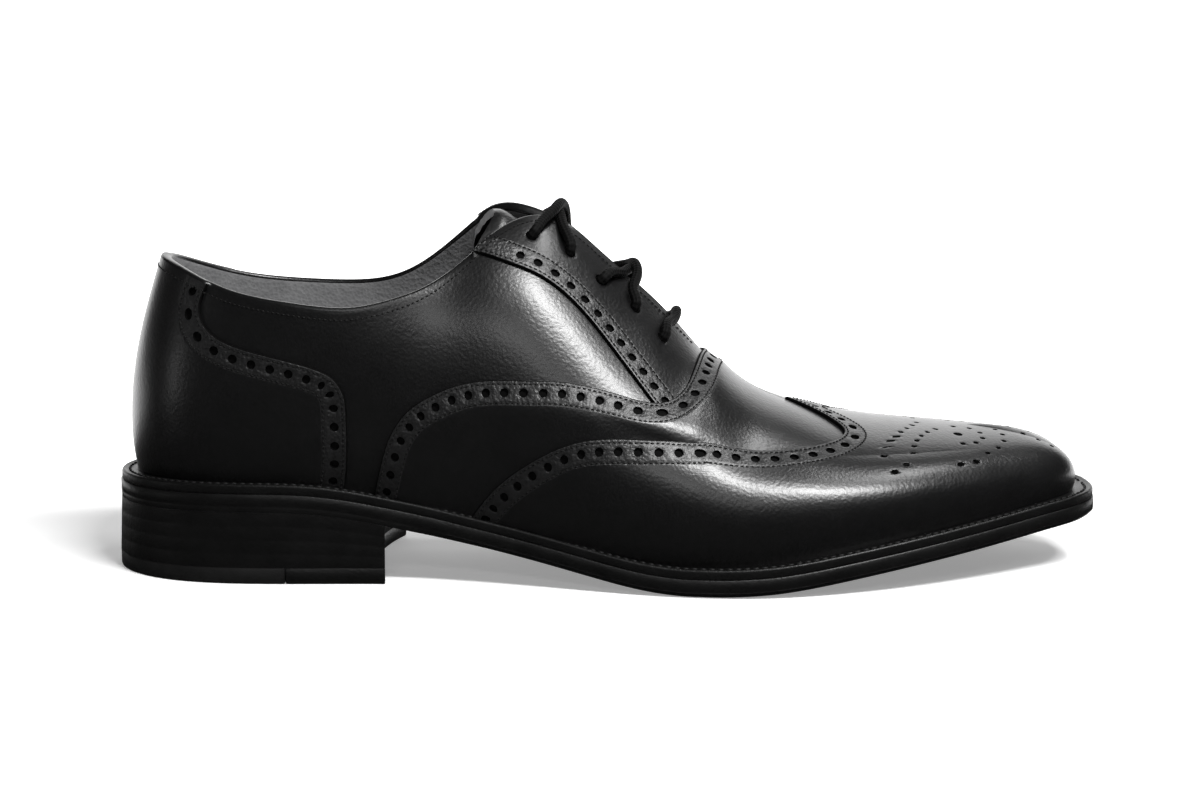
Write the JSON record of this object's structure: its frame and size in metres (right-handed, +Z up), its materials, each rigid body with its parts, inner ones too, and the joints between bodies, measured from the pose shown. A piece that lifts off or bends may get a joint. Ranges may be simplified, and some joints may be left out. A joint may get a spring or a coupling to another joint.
{
  "type": "brogue oxford shoe",
  "caption": "Black leather full-brogue oxford for the right foot, with wing cap, closed lacing, stitched welt and stacked heel.",
  "frame": {"origin": "middle of the shoe's length and width, on the floor under the sole", "axes": "+X towards the toe, +Y towards the medial side, +Z up"},
  "size_m": [0.3097, 0.1062, 0.1143],
  "materials": {
    "black_calf": "polished smooth black calf with a soft gloss",
    "sole_leather": "black edge dye, satin",
    "insole_leather": "smooth grey-brown insole leather",
    "heel_rubber": "matt black rubber",
    "lace_cord": "round waxed black cotton cord"
  },
  "bodies": {
    "root": {"outsole": "sole_leather", "welt": "sole_leather", "insole": "insole_leather", "heel_stack": "sole_leather", "top_lift_rubber": "heel_rubber", "top_lift_leather": "sole_leather", "upper": "black_calf", "heel_counter": "black_calf", "vamp": "black_calf", "wing_cap": "black_calf", "facing_lateral": "black_calf", "facing_medial": "black_calf", "tongue": "black_calf", "lace_cross_upper": "lace_cord", "lace_cross_lower": "lace_cord", "lace_bar": "lace_cord"}
  },
  "joints": []
}
